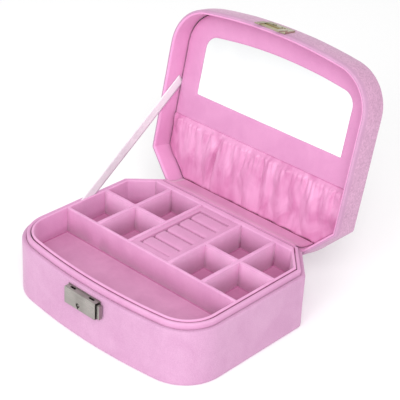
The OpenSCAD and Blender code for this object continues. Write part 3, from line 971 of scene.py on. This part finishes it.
def pocket():
    """A sheet from the hem (v = 0) to the lining's foot (v = 1), edges held down."""
    nx, nv = 300, 36
    half = HALF_W - LINING_IN - 0.9
    verts = []
    for j in range(nv + 1):
        v = j / nv
        for i in range(nx + 1):
            x = -half + 2 * half * i / nx
            tuck = 0.2 + 0.9 * noise.noise(Vector((x / 6.5, 2.2, 0.4)))
            foot = min(HALF_D - LINING_IN - tuck, cut_at_x(abs(x), LINING_IN + 0.7))
            y = POCKET_Y + v * (foot - POCKET_Y)
            h = pocket_height(x, v)
            if j == 0:
                h = 0.3
            if j == nv or i in (0, nx):
                h = 0.1
            verts.append((x, y, LINING_Z - h))
    obj = make("pocket_gathers", verts, grid_faces(nx, nv), "lid", ["pocket_cloth"],
               True)
    solidify(obj, 0.35, 1.0)
    return paint(obj, POCKET)


pocket()

# ---- cloth hinge and ribbon ----


def strip(name, path, half, thick, material, replaces, n=36):
    """A strip of cloth across the box: path holds (y, z) points."""
    verts = []
    for y, z in path:
        for i in range(n + 1):
            x = -half + 2 * half * i / n
            verts.append((x, y, z))
    obj = make(name, rumple(verts, 0.15, 16), grid_faces(n, len(path) - 1), None,
               replaces)
    solidify(obj, thick, 0)
    for mod in list(obj.modifiers):
        apply_modifier(obj, mod.name)
    return paint(obj, material)


def apply_modifier(obj, name):
    bpy.context.view_layer.objects.active = obj
    with bpy.context.temp_override(object=obj, active_object=obj):
        bpy.ops.object.modifier_apply(modifier=name)


def smooth_path(points, n=4):
    """Catmull-Rom curve through points."""
    p = [np.array(q, float) for q in points]
    p = [2 * p[0] - p[1]] + p + [2 * p[-1] - p[-2]]
    out = []
    for a, b, c, d in zip(p, p[1:], p[2:], p[3:]):
        for k in range(n):
            t = k / n
            out.append(tuple(0.5 * (2 * b + (c - a) * t + (2 * a - 5 * b + 4 * c - d) * t * t
                                    + (3 * b - a - 3 * c + d) * t ** 3)))
    return out + [tuple(p[-2])]


HINGE_HALF = cut_at_y(HALF_D, 0) - 3.8
TUCK_Y = 108.4  # where the gusset goes under the lining
hinge_path = smooth_path([
    (81.9, 57.75), (82.5, 58.0), (83.3, 58.0), (85.0, 57.2), (87.2, 55.8), (90.8, 53.6),
    (97, 51.3), (104, 49.9), (108.3, 49.3), (109.4, 49.0), (110.4, 48.5)])
hinge_strip = strip("hinge_gusset", hinge_path, HINGE_HALF, 0.6, HINGE,
                    ["hinge_strip"])
# the gusset's end, where it goes under the lining, painted dark as the tuck's shade
paint_where(hinge_strip, TUCK_SHADE, lambda x, y, z: y > TUCK_Y)
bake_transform(hinge_strip)
hinge_len = sum(math.dist(a, b) for a, b in zip(hinge_path, hinge_path[1:]))

spine_path = smooth_path([
    (88.75, 36), (88.8, 41), (89.0, 44.2), (89.8, 46.0), (91.6, 46.4), (95, 45.8),
    (99.8, 44.8)])
spine = strip("spine_cloth", spine_path, HINGE_HALF + 3, 0.6, OUTER,
              ["spine_strip"])
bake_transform(spine)
spine_len = sum(math.dist(a, b) for a, b in zip(spine_path, spine_path[1:]))

RIBBON_W = 10.4
FOOT = np.array([-102.25, 7.1, 56.0])
HEAD = np.array([-105.6, 128.4, 138.0])


def ribbon():
    """The tight stay on the left. It starts 11.5 mm below FOOT, in the gap round the
    tray, and stops 0.2 mm short of HEAD."""
    run = HEAD - FOOT
    d = unit(run)
    length = np.linalg.norm(run)
    side = unit(np.cross([1, 0, 0], d))
    n, m = 64, 6
    verts = []
    for j in range(n + 1):
        s = -11.5 + (length + 11.3) * j / n
        for i in range(m + 1):
            u = (i / m - 0.5) * RIBBON_W
            p = FOOT + d * s + side * u
            p = p + np.array([0.12 * math.sin(s / 19) * math.cos(u / 4), 0, 0])
            verts.append(tuple(p))
    obj = make("ribbon", verts, grid_faces(m, n), None, ["ribbon_stay"])
    solidify(obj, 0.35, 0)
    apply_modifier(obj, "thickness")
    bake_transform(obj)
    return paint(obj, RIBBON)


ribbon()

# ---- latch spring ----


def spring():
    """The latch spring as wound wire, in the place of the CAD's spring."""
    low, high = (np.array(v, float) for v in box_mm("lock_spring"))
    wire, turns, steps, sides = 0.26, 7, 24, 8
    mid, length = (low + high) / 2, high[0] - low[0]
    radius = (high[1] - low[1]) / 2 - wire
    rings = []
    for k in range(turns * steps + 1):
        a = 2 * math.pi * k / steps
        out = np.array([0, math.cos(a), math.sin(a)])
        centre = mid + radius * out
        centre[0] = low[0] + wire + (length - 2 * wire) * k / (turns * steps)
        rings.append([
            tuple(centre + wire * (math.cos(b) * out + math.sin(b) * np.array([1, 0, 0])))
            for b in (2 * math.pi * i / sides for i in range(sides))])
    verts, faces = rings_mesh(rings, cap_start=True, cap_end=True)
    obj = make("latch_spring", verts, faces, "base", ["lock_spring"])
    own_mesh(obj)
    return paint(obj, STEEL)


spring()

# ---- lock and catch: the CAD's own shapes, with softened edges ----

LOOK = {"catch_plate": CATCH, "catch_hooks": CATCH, "catch_rivets": CATCH,
        "catch_lip": BRASS, "latch_plate": DARK}
for name, width in (("lock_backplate", 0.25), ("lock_case", 0.45), ("latch_plate", 0.1),
                    ("lock_button", 0.5), ("catch_plate", 0.5), ("catch_hooks", 0.3),
                    ("catch_lip", 0.3), ("catch_rivets", 0.25), ("lock_nails", 0.1),
                    ("key_barrel", 0.12)):
    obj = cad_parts[name]
    bevel(obj, width)
    paint(obj, LOOK.get(name, STEEL))
paint(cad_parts["mirror_glass"], MIRROR)
paint(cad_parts["pocket_elastic"], POCKET)
# the boards, seen only in cracks, painted deep maroon as the cracks' shade
for name in ("base_bottom_board", "base_wall", "neck_board", "ring_pad_board",
             "lid_wall", "lid_top_board", "lining_board"):
    paint(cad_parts[name], BOARD_CRACK_SHADE)

# ---- floor and light ----

SKY = 0.80
LIGHT_SIZE = 1.1


def stage():
    """A wide pale floor under an even white sky."""
    far = 9000
    verts = [(-far, -far, 0), (far, -far, 0), (far, far, 0), (-far, far, 0)]
    floor = make("floor", verts, [(0, 1, 2, 3)], None)
    n = Nodes("floor")
    tones = [(0.3, (0.97, 0.97, 0.97, 1)), (0.7, (0.985, 0.985, 0.985, 1))]
    n.link(n.ramp(n.noise(3, 2), tones), n.bsdf.inputs["Base Color"])
    n.set(Roughness=0.9, Specular_IOR_Level=0.1)
    paint(floor, n.mat)
    world = bpy.data.worlds.new("world")
    world.use_nodes = True
    back = world.node_tree.nodes["Background"]
    back.inputs["Color"].default_value = (1, 1, 1, 1)
    back.inputs["Strength"].default_value = SKY
    bpy.context.scene.world = world


def area_light(name, place, target, power):
    """A soft round light; place and target in metres, power in watts."""
    data = bpy.data.lights.new(name, "AREA")
    data.shape, data.size = "DISK", LIGHT_SIZE
    data.energy = power
    obj = bpy.data.objects.new(name, data)
    obj.location = place
    d = Vector(target) - Vector(place)
    obj.rotation_euler = d.to_track_quat("-Z", "Y").to_euler()
    bpy.context.collection.objects.link(obj)


stage()
area_light("key", (1.45, -1.3, 1.75), (0, 0.05, 0.05), 29)
area_light("fill", (0.4, -1.8, 1.0), (0, 0.05, 0.08), 14)
bpy.context.scene.view_settings.view_transform = "Standard"
bpy.context.scene.view_settings.look = "None"
